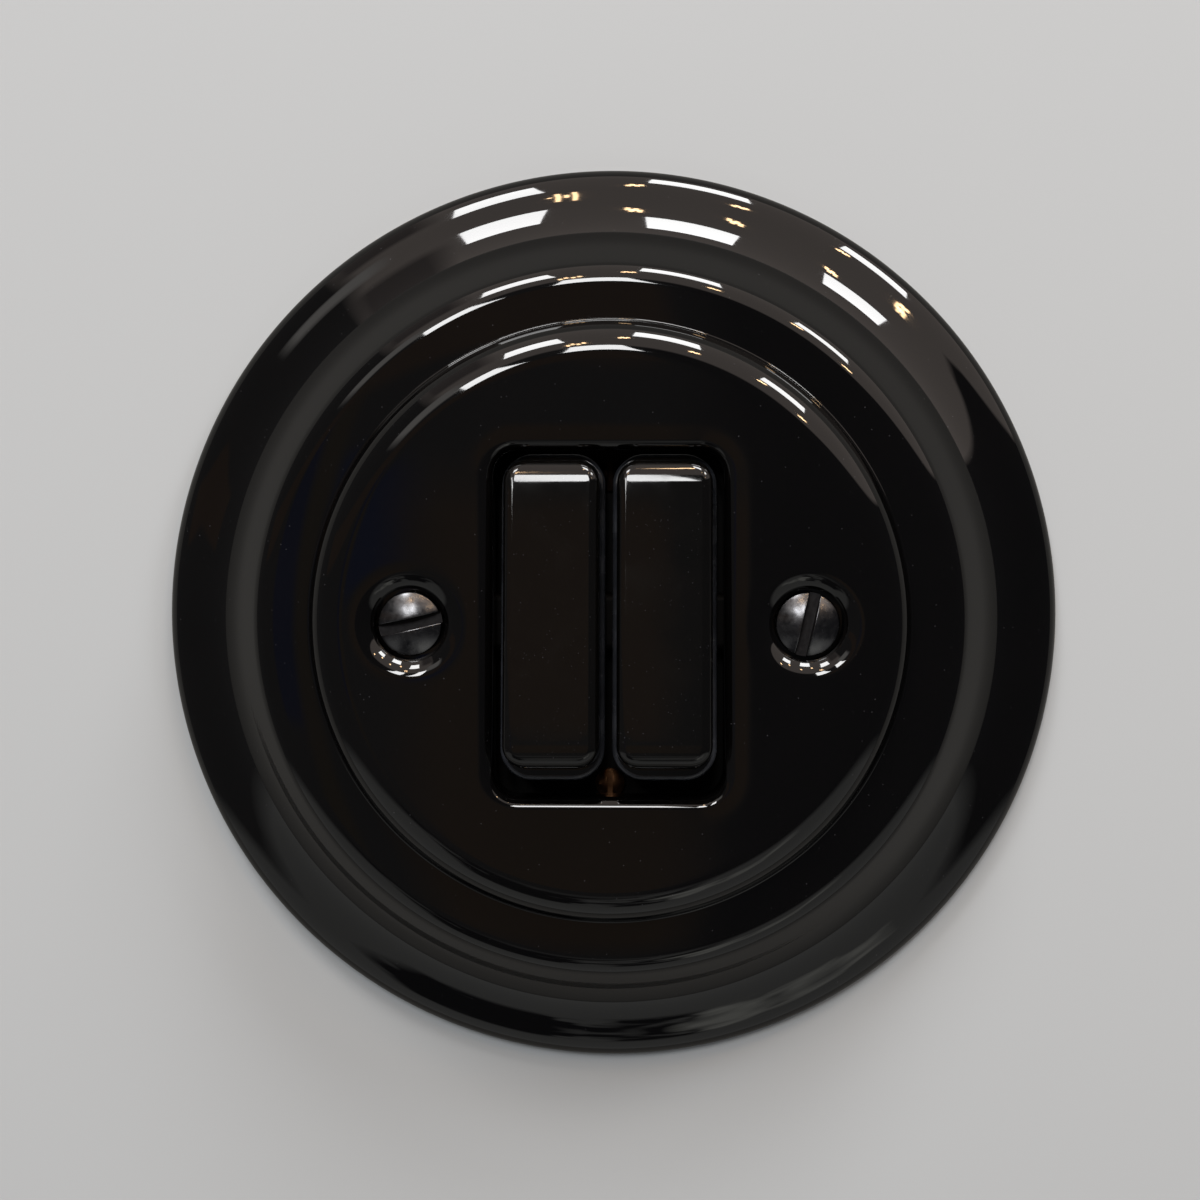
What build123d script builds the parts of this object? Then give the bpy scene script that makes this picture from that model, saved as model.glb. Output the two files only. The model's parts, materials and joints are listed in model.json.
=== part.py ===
from build123d import *

import math
import os

# Sizes are in millimetres. Each piece is drawn lying on the bench: X to the right, Y up the wall,
# Z out of the wall, with the plaster at Z = 0. stand() then turns it upright for the export, so
# that +Z is up and the front of the switch faces -Y. Names ending in _H are heights along Z.

# Round porcelain frame, given as the outline that is turned about the switch's axis. From the rim
# inwards it runs round a full edge on to a low crown, sweeps up through a hollow cove to a steep
# step and rounds off to the flat seat of the cover. Slopes are in degrees from the wall.
FRAME_R = 50.0
RIM_EDGE_R, RIM_EDGE_SLOPE = 2.6, 30.0
CROWN_R, CROWN_SLOPE = 6.0, 13.0
COVE_R, STEP_SLOPE, STEP_W = 10.5, 55.5, 2.1
STEP_EDGE_R = 3.0
FRAME_TOP_H = 12.0
FRAME_BORE_R, FRAME_BORE_EDGE_R = 29.5, 0.8
FRAME_FLANGE_H = 8.0
FRAME_HOLLOW = [(35.0, FRAME_FLANGE_H), (37.5, 6.4), (41.5, 2.2), (44.5, 0.0)]

# Round porcelain cover: a thin foot and a round shoulder up to the flat face
COVER_R, COVER_TOP_H = 32.2, 16.0
FOOT_SIDE, FOOT_EDGE_R = 0.15, 0.2
COVER_FACE_R, COVER_SHOULDER_R, COVER_SHOULDER_SLOPE = 28.1, 3.85, 87.0
SPIGOT_R, SPIGOT_INNER_R, SPIGOT_H = 29.2, 25.5, 9.5
OPENING_W, OPENING_L, OPENING_CORNER_R, OPENING_LIP_R = 24.4, 36.8, 2.6, 0.9
SCREW_X = 21.1
BOSS_R, BOSS_H = 6.5, 8.4
RECESS_R, RECESS_H, RECESS_LIP_R = 4.1, 11.3, 1.7
COVER_HOLE_R = 2.25

# Cover screws and the pillars that take them
COVER_SCREW_R, COVER_SCREW_SIDE, COVER_SCREW_DOME = 3.5, 1.9, 1.2
COVER_SCREW_SHANK_R, COVER_SCREW_SHANK_L = 1.95, 10.0
COVER_SCREW_SLOT_W, COVER_SCREW_SLOT_D = 1.2, 1.5
LEFT_SLOT_TURN, RIGHT_SLOT_TURN = 12.6, 77.0
PILLAR_R, PILLAR_TOP_H, PILLAR_TAIL_R, PILLAR_HOLE_R = 3.25, 8.2, 2.55, 2.0

# Rockers, drawn level and then tilted about the pivot pin
ROCKER_X = 5.95
ROCKER_TILT = -6.5
PIVOT_H, PIVOT_R, PIVOT_EYE_R, PIVOT_SEAT_R, PIVOT_HALF_L = 9.0, 1.2, 1.25, 1.22, 12.6
CAP_Y = 0.3
SKIRT_W, SKIRT_L, SKIRT_CORNER_R, SKIRT_EDGE_R = 11.15, 34.9, 3.4, 0.5
SKIRT_LOW_H, SKIRT_TOP_H = 11.5, 13.5
PAD_W, PAD_L, PAD_CORNER_R, PAD_EDGE_R = 10.4, 32.8, 3.3, 2.8
PAD_H, PAD_DRAFT = 5.5, 2.5
CAP_HOLLOW_W, CAP_HOLLOW_L, CAP_HOLLOW_R, CAP_HOLLOW_H = 6.6, 28.0, 1.0, 17.2
RIB_Y, RIB_LOW_H = (6.0, 7.0), 12.2

# Carriers under the rocker caps, with the sprung plungers of the snap action
CARRIER_W, CARRIER_L, CARRIER_CORNER_R = 7.8, 12.0, 1.5
CARRIER_LOW_H, CARRIER_TOP_H = 5.5, 11.3
STEM_W, STEM_L, STEM_CORNER_R, STEM_TOP_H = 6.2, 11.6, 1.0, 17.1
TUBE_R, TUBE_LOW_H = 2.6, 1.0
PLUNGER_BORE_R, PLUNGER_BORE_H = 1.65, 7.3
PLUNGER_R, PLUNGER_TOP_H, PLUNGER_TIP_H = 1.6, 3.8, -2.0
SPRING_R, SPRING_WIRE_R, SPRING_TURNS = 1.15, 0.2, 3.5

# Bearing frame that holds the pivot pin
CORE_W, CORE_L, CORE_CORNER_R = 26.0, 39.0, 2.0
BEARING_LOW_H, BEARING_TOP_H = 4.0, 7.0
CHAMBER_X, CHAMBER_Y, CHAMBER_R = (1.3, 10.7), 13.0, 0.8
CHEEK_Y, CHEEK_TOP_H, CHEEK_EDGE_R = 3.1, 10.8, 0.8
BEARING_SCREW_Y, BEARING_HOLE_R, BEARING_THREAD_R = (15.8, -17.9), 1.3, 1.25
BEARING_SCREW_R, BEARING_SCREW_SIDE, BEARING_SCREW_DOME = 1.6, 0.7, 0.6
BEARING_THREAD_RUNOUT = 0.5
BEARING_SCREW_SHANK_R, BEARING_SCREW_SHANK_L, BEARING_SLOT_TURN = 1.2, 10.0, 90.0

# Moulded base with the contact chambers in front and the wire terminals behind
BASE_W, BASE_L, BASE_CORNER_R, BASE_EDGE_R, BASE_BACK_H = 36.0, 43.0, 4.0, 1.0, -22.0
CHAMBER_FLOOR_H = -8.0
LEDGE_Y, LEDGE_H = (-9.2, -6.2), -2.85
TERMINAL_Y, TERMINAL_CEILING_H = 16.5, -16.0
TERMINAL_W, TERMINAL_IN_Y = 9.0, 11.2
TERMINAL_HOLE_R, TERMINAL_HOLE_H = 1.55, -10.0
STRIP_ROOM = 0.05

# Brass strips, drawn as the middle line of the bent sheet and given as (Y, Z)
STRIP_T, STRIP_W, STRIP_BEND_R = 1.0, 6.0, 0.9
STRIP_HOLE_R = 1.6
FIXED_CONTACT_PATH = [(5.6, -4.6), (12.0, -4.6), (12.0, -16.5), (20.3, -16.5)]
LINE_PATH = [(2.0, -8.5), (-12.0, -8.5), (-12.0, -16.5), (-20.3, -16.5)]
BUS_HALF_X, BUS_HALF_Y, BUS_CORNER_R = 8.6, 2.2, 0.6
POST_HALF_X, POST_HALF_Y = 1.8, 0.5
FULCRUM_H, FULCRUM_R, FULCRUM_HALF_L = -3.6, 0.8, 2.9

# Rocking contact levers, drawn level and then tilted about the fulcrum
LEVER_TILT = 7.8
LEVER_W, LEVER_HALF_L, LEVER_T, LEVER_SLOPE, LEVER_TOP_H = 5.0, 8.0, 0.8, 0.2, -2.2
LEVER_NOTCH_R = 0.9
LEVER_RIVET_Y, FIXED_RIVET_Y, FIXED_RIVET_TOP_H = 7.2, 7.45, -3.4
RIVET_R, RIVET_T, RIVET_SHANK_R, RIVET_HOLE_R = 1.2, 0.7, 0.55, 0.58
RIVET_TAIL_R, RIVET_TAIL_T = 0.9, 0.4

# Terminal screws and the square clamps under their heads
TERMINAL_SCREW_R, TERMINAL_SCREW_SIDE, TERMINAL_SCREW_DOME = 2.7, 1.6, 0.5
TERMINAL_SCREW_SHANK_R, TERMINAL_SCREW_SHANK_L = 1.45, 7.4
CLAMP_W, CLAMP_T, CLAMP_CORNER_R, CLAMP_TOP_H = 7.0, 1.0, 1.0, -17.4

# Steel mounting plate and the screws that hold the base to it
PLATE_W, PLATE_R, PLATE_T = 71.0, 41.2, 1.2
PLATE_OPENING_W, PLATE_OPENING_L = 27.0, 40.0
SLOT_X, SLOT_L, SLOT_W = 30.0, 8.0, 4.2
PILLAR_SEAT_R = 2.6
PLATE_SCREW_AT, PLATE_HOLE_R, PLATE_THREAD_R, PLATE_THREAD_L = (15.8, 12.0), 1.2, 1.05, 7.0
PLATE_SCREW_R, PLATE_SCREW_SIDE, PLATE_SCREW_DOME = 1.9, 0.6, 0.6
PLATE_SCREW_SHANK_R, PLATE_SCREW_SHANK_L = 1.0, 7.0
SMALL_SLOT_W, SMALL_SLOT_D = 0.6, 0.7

# Spreading claws, drawn for the top one and mirrored for the bottom one
CLAW_AT, CLAW_EYE_R, CLAW_BARREL_R, CLAW_HALF_W, CLAW_T = (27.2, -3.5), 1.05, 1.9, 4.5, 1.2
CLAW_TAB = [(22.0, -5.0), (26.6, -5.0)]
CLAW_LEG, CLAW_BEND_R = [(27.2, -4.6), (27.2, -20.4), (30.4, -20.4)], 0.9
CLAW_NOTCH = [(-1.6, 31.4), (0.0, 28.6), (1.6, 31.4)]
CLAW_CORNER = [(5.0, 28.6), (2.4, 31.4), (5.0, 31.4)]
CLAW_PIN_R, CLAW_PIN_HALF_L, LUG_HOLE_R = 1.0, 6.4, 1.02
LUG_X, LUG_HALF_Y = (4.8, 6.0), 2.2
CLAW_SCREW_Y, CLAW_SCREW_SEAT_H, CLAW_HOLE_R = 23.2, 1.6, 1.5
CLAW_SCREW_R, CLAW_SCREW_SIDE, CLAW_SCREW_DOME = 2.75, 1.2, 0.4
CLAW_SCREW_SHANK_R, CLAW_SCREW_SHANK_L = 1.45, 5.8

LEFT, RIGHT = -1, 1
TOP, BOTTOM = 1, -1


def block(x, y, z):
    """A block between a low and a high limit along each axis."""
    middle = [(low + high) / 2 for low, high in (x, y, z)]
    return Pos(*middle) * Box(*[high - low for low, high in (x, y, z)])


def rod(radius, low, high, at=(0, 0)):
    """A round bar along Z, standing at a point (X, Y)."""
    return Pos(*at, (low + high) / 2) * Cylinder(radius, high - low)


def axle(radius, low, high, at):
    """A round bar along X, through a point (Y, Z)."""
    return Pos((low + high) / 2, *at) * Rot(0, 90, 0) * Cylinder(radius, high - low)


def slab(width, length, corner, low, high, at=(0, 0), draft=0):
    """A rounded rectangle drawn out along Z from low to high, narrowing by the draft."""
    return extrude(Pos(*at, low) * RectangleRounded(width, length, corner), high - low, taper=draft)


def turned(edges):
    """A closed outline of (radius, height) turned about Z."""
    return revolve(Plane.XZ * make_face(edges), Axis.Z)


def bent_sheet(points, bend, thickness, width, middle_x=0.0):
    """Sheet bent along a middle line of (Y, Z) points, of the given width along X."""
    line = FilletPolyline(*points, radius=bend) if len(points) > 2 else Line(*points)
    return Pos(middle_x, 0, 0) * extrude(Plane.YZ * trace(line, thickness), width / 2, both=True)


def turn_about(shape, angle, at):
    """Turn a shape by an angle about the line along X through (Y, Z)."""
    y, z = at
    return Pos(0, y, z) * Rot(angle, 0, 0) * Pos(0, -y, -z) * shape


def top_edges(shape):
    return shape.edges().group_by(Axis.Z)[-1]


def flip(shape):
    """The same shape on the other side, top for bottom."""
    return mirror(shape, Plane.XZ)


def slotted_screw(head_r, side, dome, shank_r, shank_l, slot_w, slot_d, turn=0.0):
    """A domed screw with the underside of its head at Z = 0 and its shank below."""
    dome_r = (head_r**2 + dome**2) / (2 * dome)
    crown = JernArc((0, side + dome), (1, 0), dome_r, -math.degrees(math.asin(head_r / dome_r)))
    outline = Polyline(
        crown @ 1, (head_r, 0), (shank_r, 0), (shank_r, -shank_l), (0, -shank_l), crown @ 0
    )
    slot_floor = side + dome - slot_d
    slot = block((-2 * head_r, 2 * head_r), (-slot_w / 2, slot_w / 2), (slot_floor, 2 * head_r))
    return turned([crown, outline]) - Rot(0, 0, turn) * slot


def frame_ring():
    """The frame: rim, crown, cove and step up to the seat of the cover, hollow behind."""
    edge = JernArc((FRAME_R, 0), (0, 1), RIM_EDGE_R, 90 - RIM_EDGE_SLOPE)
    crown = JernArc(edge @ 1, edge % 1, CROWN_R, RIM_EDGE_SLOPE - CROWN_SLOPE)
    cove = JernArc(crown @ 1, crown % 1, COVE_R, CROWN_SLOPE - STEP_SLOPE)
    step = Line(cove @ 1, cove @ 1 + cove % 1 * (STEP_W / math.cos(math.radians(STEP_SLOPE))))
    step_edge = JernArc(step @ 1, step % 1, STEP_EDGE_R, STEP_SLOPE)
    rim_h = FRAME_TOP_H - (step_edge @ 1).Y
    face = [Pos(0, rim_h) * part for part in (edge, crown, cove, step, step_edge)]
    rim = Line((FRAME_R, 0), face[0] @ 0)
    seat = Line(face[-1] @ 1, (FRAME_BORE_R + FRAME_BORE_EDGE_R, FRAME_TOP_H))
    bore_edge = JernArc(seat @ 1, seat % 1, FRAME_BORE_EDGE_R, 90)
    back = Polyline(bore_edge @ 1, (FRAME_BORE_R, FRAME_FLANGE_H), *FRAME_HOLLOW, rim @ 0)
    return turned([rim, *face, seat, bore_edge, back])


def cover_outline():
    """The outline of the cover's plate and of the spigot that centres it in the frame."""
    foot = Line((COVER_R, FRAME_TOP_H), (COVER_R, FRAME_TOP_H + FOOT_SIDE))
    foot_edge = JernArc(foot @ 1, foot % 1, FOOT_EDGE_R, 90)
    shoulder = JernArc((COVER_FACE_R, COVER_TOP_H), (1, 0), COVER_SHOULDER_R, -COVER_SHOULDER_SLOPE)
    ledge = Line(foot_edge @ 1, shoulder @ 1)
    spigot = [(SPIGOT_INNER_R, FRAME_TOP_H), (SPIGOT_INNER_R, SPIGOT_H)]
    spigot += [(SPIGOT_R, SPIGOT_H), (SPIGOT_R, FRAME_TOP_H), foot @ 0]
    rest = Polyline(shoulder @ 0, (0, COVER_TOP_H), (0, FRAME_TOP_H), *spigot)
    return [foot, foot_edge, ledge, shoulder, rest]


def cover_plate():
    """The cover: a round plate with a spigot behind, the rockers' opening and two screw recesses."""
    plate = turned(cover_outline())
    for side in (LEFT, RIGHT):
        at = (side * SCREW_X, 0)
        plate += rod(BOSS_R, BOSS_H, FRAME_TOP_H, at)
        plate -= rod(RECESS_R, RECESS_H, COVER_TOP_H, at)
        plate -= rod(COVER_HOLE_R, BOSS_H, RECESS_H, at)
    plate -= slab(OPENING_W, OPENING_L, OPENING_CORNER_R, FRAME_TOP_H, COVER_TOP_H)
    between = SCREW_X - RECESS_R - RECESS_LIP_R
    rims = [rim for rim in top_edges(plate) if rim.length < OPENING_L]
    opening_rim = [rim for rim in rims if abs(rim.center().X) < between]
    plate = fillet(opening_rim, OPENING_LIP_R)
    rims = [rim for rim in top_edges(plate) if rim.length < OPENING_L]
    return fillet([rim for rim in rims if abs(rim.center().X) > between], RECESS_LIP_R)


def cover_screw(side, turn):
    screw = slotted_screw(
        COVER_SCREW_R, COVER_SCREW_SIDE, COVER_SCREW_DOME, COVER_SCREW_SHANK_R,
        COVER_SCREW_SHANK_L, COVER_SCREW_SLOT_W, COVER_SCREW_SLOT_D, turn,
    )
    return Pos(side * SCREW_X, 0, RECESS_H) * screw


def screw_pillar(side):
    at = (side * SCREW_X, 0)
    pillar = rod(PILLAR_R, PLATE_T, PILLAR_TOP_H, at) + rod(PILLAR_TAIL_R, 0, PLATE_T, at)
    return pillar - rod(PILLAR_HOLE_R, 0, PILLAR_TOP_H, at)


def in_rocker(shape, side):
    """Put a piece of a rocker, drawn level at X = 0, in its place and at its tilt."""
    return Pos(side * ROCKER_X, 0, 0) * turn_about(shape, ROCKER_TILT, (0, PIVOT_H))


def rocker(side):
    """A rocker cap: a drafted pad on a wider skirt, hollow below with two ribs for the carrier."""
    at = (0, CAP_Y)
    skirt = slab(SKIRT_W, SKIRT_L, SKIRT_CORNER_R, SKIRT_LOW_H, SKIRT_TOP_H, at)
    pad = slab(PAD_W, PAD_L, PAD_CORNER_R, SKIRT_TOP_H, SKIRT_TOP_H + PAD_H, at, PAD_DRAFT)
    cap = fillet(top_edges(skirt), SKIRT_EDGE_R) + fillet(top_edges(pad), PAD_EDGE_R)
    hollow = slab(CAP_HOLLOW_W, CAP_HOLLOW_L, CAP_HOLLOW_R, SKIRT_LOW_H, CAP_HOLLOW_H)
    rib = block((-CAP_HOLLOW_W, CAP_HOLLOW_W), RIB_Y, (RIB_LOW_H, CAP_HOLLOW_H))
    return in_rocker(cap - (hollow - rib - flip(rib)), side)


def carrier(side):
    """A carrier: a body on the pivot pin, a stem in the cap above and a plunger tube below."""
    body = slab(CARRIER_W, CARRIER_L, CARRIER_CORNER_R, CARRIER_LOW_H, CARRIER_TOP_H)
    body += slab(STEM_W, STEM_L, STEM_CORNER_R, CARRIER_TOP_H, STEM_TOP_H)
    body += rod(TUBE_R, TUBE_LOW_H, CARRIER_LOW_H)
    body -= rod(PLUNGER_BORE_R, TUBE_LOW_H, PLUNGER_BORE_H)
    body -= axle(PIVOT_EYE_R, -CARRIER_W, CARRIER_W, (0, PIVOT_H))
    return in_rocker(body, side)


def plunger(side):
    tip = JernArc((0, PLUNGER_TIP_H), (1, 0), PLUNGER_R, 90)
    rest = Polyline(tip @ 1, (PLUNGER_R, PLUNGER_TOP_H), (0, PLUNGER_TOP_H), tip @ 0)
    return in_rocker(turned([tip, rest]), side)


def plunger_spring(side):
    length = PLUNGER_BORE_H - PLUNGER_TOP_H - 2 * SPRING_WIRE_R
    coil = Helix(length / SPRING_TURNS, length, SPRING_R)
    wire = sweep(Plane(coil @ 0, z_dir=coil % 0) * Circle(SPRING_WIRE_R), path=coil)
    return in_rocker(Pos(0, 0, PLUNGER_TOP_H + SPRING_WIRE_R) * wire, side)


def pivot_pin():
    return axle(PIVOT_R, -PIVOT_HALF_L, PIVOT_HALF_L, (0, PIVOT_H))


def chambers(low, high):
    """The two rooms beside each other that the carriers and levers work in."""
    near, far = CHAMBER_X
    room = slab(far - near, 2 * CHAMBER_Y, CHAMBER_R, low, high)
    return Pos(-(near + far) / 2, 0, 0) * room + Pos((near + far) / 2, 0, 0) * room


def bearing_frame():
    """The bearing frame: a plate with the chambers' mouths, a centre web and two cheeks."""
    plate = slab(CORE_W, CORE_L, CORE_CORNER_R, BEARING_LOW_H, BEARING_TOP_H)
    plate -= chambers(BEARING_LOW_H, BEARING_TOP_H)
    near, far = CHAMBER_X
    for x in ((-CORE_W / 2, -far), (-near, near), (far, CORE_W / 2)):
        cheek = block(x, (-CHEEK_Y, CHEEK_Y), (BEARING_TOP_H, CHEEK_TOP_H))
        plate += fillet(top_edges(cheek).filter_by(Axis.X), CHEEK_EDGE_R)
    plate -= axle(PIVOT_SEAT_R, -CORE_W, CORE_W, (0, PIVOT_H))
    for y in BEARING_SCREW_Y:
        plate -= rod(BEARING_HOLE_R, BEARING_LOW_H, BEARING_TOP_H, (0, y))
    return plate


def bearing_screws():
    screw = slotted_screw(
        BEARING_SCREW_R, BEARING_SCREW_SIDE, BEARING_SCREW_DOME, BEARING_SCREW_SHANK_R,
        BEARING_SCREW_SHANK_L, SMALL_SLOT_W, SMALL_SLOT_D, BEARING_SLOT_TURN,
    )
    return [Pos(0, y, BEARING_TOP_H) * screw for y in BEARING_SCREW_Y]


def fixed_contact_sheet(side, room=0.0):
    """The bent sheet of an outgoing strip, or with some room the space it needs in the base."""
    return bent_sheet(
        FIXED_CONTACT_PATH, STRIP_BEND_R, STRIP_T + 2 * room, STRIP_W + 2 * room, side * ROCKER_X
    )


def line_sheet(room=0.0):
    """The bent sheet of the incoming strip with its cross bar under both levers."""
    sheet = bent_sheet(LINE_PATH, STRIP_BEND_R, STRIP_T + 2 * room, STRIP_W + 2 * room)
    _, middle_h = LINE_PATH[0]
    half_t = STRIP_T / 2 + room
    bus_w, bus_l = 2 * (BUS_HALF_X + room), 2 * (BUS_HALF_Y + room)
    return sheet + slab(bus_w, bus_l, BUS_CORNER_R, middle_h - half_t, middle_h + half_t)


def terminal_places():
    """Where the three wire terminals are: both outgoing ones at the top, the line at the bottom."""
    return [(-ROCKER_X, TERMINAL_Y), (ROCKER_X, TERMINAL_Y), (0, -TERMINAL_Y)]


def outgoing_strip(side):
    """An outgoing strip with the hole of its fixed contact and that of its terminal screw."""
    strip = fixed_contact_sheet(side)
    strip -= rod(RIVET_HOLE_R, CHAMBER_FLOOR_H, 0, (side * ROCKER_X, FIXED_RIVET_Y))
    return strip - rod(STRIP_HOLE_R, BASE_BACK_H, CHAMBER_FLOOR_H, (side * ROCKER_X, TERMINAL_Y))


def line_strip():
    """The incoming strip with the two posts and the round bars that the levers rock on."""
    strip = line_sheet() - rod(STRIP_HOLE_R, BASE_BACK_H, CHAMBER_FLOOR_H - STRIP_T, (0, -TERMINAL_Y))
    for side in (LEFT, RIGHT):
        x = side * ROCKER_X
        post_x = (x - POST_HALF_X, x + POST_HALF_X)
        strip += block(post_x, (-POST_HALF_Y, POST_HALF_Y), (CHAMBER_FLOOR_H, FULCRUM_H))
        strip += axle(FULCRUM_R, x - FULCRUM_HALF_L, x + FULCRUM_HALF_L, (0, FULCRUM_H))
    return strip


def base():
    """The base: a rounded block and core, with chambers, stops, strip rooms and terminal pockets."""
    body = slab(BASE_W, BASE_L, BASE_CORNER_R, BASE_BACK_H, 0)
    body = fillet(body.edges().group_by(Axis.Z)[0], BASE_EDGE_R)
    body += slab(CORE_W, CORE_L, CORE_CORNER_R, 0, BEARING_LOW_H)
    body -= chambers(CHAMBER_FLOOR_H, BEARING_LOW_H)
    near, far = CHAMBER_X
    for x in ((-far, -near), (near, far)):
        body += block(x, LEDGE_Y, (CHAMBER_FLOOR_H, LEDGE_H))
    pocket_h = (2 * BASE_BACK_H, TERMINAL_CEILING_H)
    for x, y in terminal_places():
        pocket_x = (x - TERMINAL_W / 2, x + TERMINAL_W / 2)
        pocket_y = (TERMINAL_IN_Y, BASE_L) if y > 0 else (-BASE_L, -TERMINAL_IN_Y)
        body -= block(pocket_x, pocket_y, pocket_h)
        body -= rod(TERMINAL_HOLE_R, TERMINAL_CEILING_H, TERMINAL_HOLE_H, (x, y))
    body -= line_sheet(STRIP_ROOM)
    for side in (LEFT, RIGHT):
        body -= fixed_contact_sheet(side, STRIP_ROOM)
    for y in BEARING_SCREW_Y:
        low = BEARING_TOP_H - BEARING_SCREW_SHANK_L - BEARING_THREAD_RUNOUT
        body -= rod(BEARING_THREAD_R, low, BEARING_LOW_H, (0, y))
    for at in plate_screw_places():
        body -= rod(PLATE_THREAD_R, -PLATE_THREAD_L, 0, at)
    return body


def contact_lever(side):
    """A rocking contact: a shallow V of sheet brass with a round notch for the fulcrum bar."""
    rise = LEVER_SLOPE * LEVER_HALF_L
    low = LEVER_TOP_H - LEVER_T
    upper = [(-LEVER_HALF_L, LEVER_TOP_H + rise), (0, LEVER_TOP_H), (LEVER_HALF_L, LEVER_TOP_H + rise)]
    lower = [(LEVER_HALF_L, low + rise), (0, low), (-LEVER_HALF_L, low + rise)]
    lever = extrude(Plane.YZ * make_face(Polyline(*upper, *lower, close=True)), LEVER_W / 2, both=True)
    lever -= axle(LEVER_NOTCH_R, -LEVER_W, LEVER_W, (0, FULCRUM_H))
    lever -= on_lever_arm(rod(RIVET_HOLE_R, -LEVER_T, LEVER_T))
    return in_lever(lever, side)


def on_lever_arm(shape):
    """Put a shape drawn about Z = 0 on the middle of the lever's contact arm, square to it."""
    middle_h = LEVER_TOP_H - LEVER_T / 2 + LEVER_SLOPE * LEVER_RIVET_Y
    return Pos(0, LEVER_RIVET_Y, middle_h) * Rot(math.degrees(math.atan(LEVER_SLOPE)), 0, 0) * shape


def in_lever(shape, side):
    return Pos(side * ROCKER_X, 0, 0) * turn_about(shape, LEVER_TILT, (0, FULCRUM_H))


def rivet(sheet_t):
    """A contact rivet through a sheet whose middle is at Z = 0, with its contact face upwards."""
    half = sheet_t / 2
    shank = rod(RIVET_SHANK_R, -half, half)
    return shank + rod(RIVET_R, half, half + RIVET_T) + rod(RIVET_TAIL_R, -half - RIVET_TAIL_T, -half)


def lever_rivet(side):
    square_t = LEVER_T * math.cos(math.atan(LEVER_SLOPE))
    return in_lever(on_lever_arm(Rot(180, 0, 0) * rivet(square_t)), side)


def fixed_rivet(side):
    middle_h = FIXED_RIVET_TOP_H - RIVET_T - STRIP_T / 2
    return Pos(side * ROCKER_X, FIXED_RIVET_Y, middle_h) * rivet(STRIP_T)


def terminal_screws():
    screw = slotted_screw(
        TERMINAL_SCREW_R, TERMINAL_SCREW_SIDE, TERMINAL_SCREW_DOME, TERMINAL_SCREW_SHANK_R,
        TERMINAL_SCREW_SHANK_L, SMALL_SLOT_W, SMALL_SLOT_D,
    )
    seat_h = CLAMP_TOP_H - CLAMP_T
    return [Pos(*at, seat_h) * Rot(180, 0, 0) * screw for at in terminal_places()]


def clamp(at):
    plate = slab(CLAMP_W, CLAMP_W, CLAMP_CORNER_R, CLAMP_TOP_H - CLAMP_T, CLAMP_TOP_H)
    return Pos(*at, 0) * (plate - rod(STRIP_HOLE_R, BASE_BACK_H, 0))


def plate_screw_places():
    x, y = PLATE_SCREW_AT
    return [(side * x, end * y) for side in (LEFT, RIGHT) for end in (TOP, BOTTOM)]


def plate_screws():
    screw = slotted_screw(
        PLATE_SCREW_R, PLATE_SCREW_SIDE, PLATE_SCREW_DOME, PLATE_SCREW_SHANK_R,
        PLATE_SCREW_SHANK_L, SMALL_SLOT_W, SMALL_SLOT_D,
    )
    return [Pos(*at, PLATE_T) * screw for at in plate_screw_places()]


def mounting_plate():
    """The plate: a square with rounded-off corners, slots at the box spacing and lugs bent back."""
    sheet = Rectangle(PLATE_W, PLATE_W) & Circle(PLATE_R)
    sheet -= RectangleRounded(PLATE_OPENING_W, PLATE_OPENING_L, CORE_CORNER_R)
    for side in (LEFT, RIGHT):
        sheet -= Pos(side * SLOT_X, 0) * SlotOverall(SLOT_L, SLOT_W)
        sheet -= Pos(side * SCREW_X, 0) * Circle(PILLAR_SEAT_R)
    for at in plate_screw_places():
        sheet -= Pos(*at) * Circle(PLATE_HOLE_R)
    for end in (TOP, BOTTOM):
        sheet -= Pos(0, end * CLAW_SCREW_Y) * Circle(CLAW_HOLE_R)
    plate = extrude(sheet, PLATE_T)
    y, z = CLAW_AT
    tongue = Pos(y, z / 2) * Rectangle(2 * LUG_HALF_Y, -z) + Pos(y, z) * Circle(LUG_HALF_Y)
    tongue -= Pos(y, z) * Circle(LUG_HOLE_R)
    near, far = LUG_X
    lug = extrude(Plane.YZ * tongue, far - near)
    for x in (near, -far):
        plate += Pos(x, 0, 0) * lug + flip(Pos(x, 0, 0) * lug)
    return plate


def claw_top():
    """A claw: a barrel on its pin, a tab for the screw and a leg with teeth bent outwards."""
    claw = axle(CLAW_BARREL_R, -CLAW_HALF_W, CLAW_HALF_W, CLAW_AT)
    claw += bent_sheet(CLAW_TAB, CLAW_BEND_R, CLAW_T, 2 * CLAW_HALF_W)
    claw += bent_sheet(CLAW_LEG, CLAW_BEND_R, CLAW_T, 2 * CLAW_HALF_W)
    claw -= axle(CLAW_EYE_R, -2 * CLAW_HALF_W, 2 * CLAW_HALF_W, CLAW_AT)
    _, teeth_h = CLAW_LEG[-1]
    for points in (CLAW_NOTCH, CLAW_CORNER, [(-x, y) for x, y in CLAW_CORNER]):
        cut = extrude(make_face(Polyline(*points, close=True)), CLAW_T, both=True)
        claw -= Pos(0, 0, teeth_h) * cut
    return claw


def claw_pin_top():
    return axle(CLAW_PIN_R, -CLAW_PIN_HALF_L, CLAW_PIN_HALF_L, CLAW_AT)


def claw_screws():
    screw = slotted_screw(
        CLAW_SCREW_R, CLAW_SCREW_SIDE, CLAW_SCREW_DOME, CLAW_SCREW_SHANK_R,
        CLAW_SCREW_SHANK_L, SMALL_SLOT_W, SMALL_SLOT_D,
    )
    return [Pos(0, end * CLAW_SCREW_Y, CLAW_SCREW_SEAT_H) * screw for end in (TOP, BOTTOM)]


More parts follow.
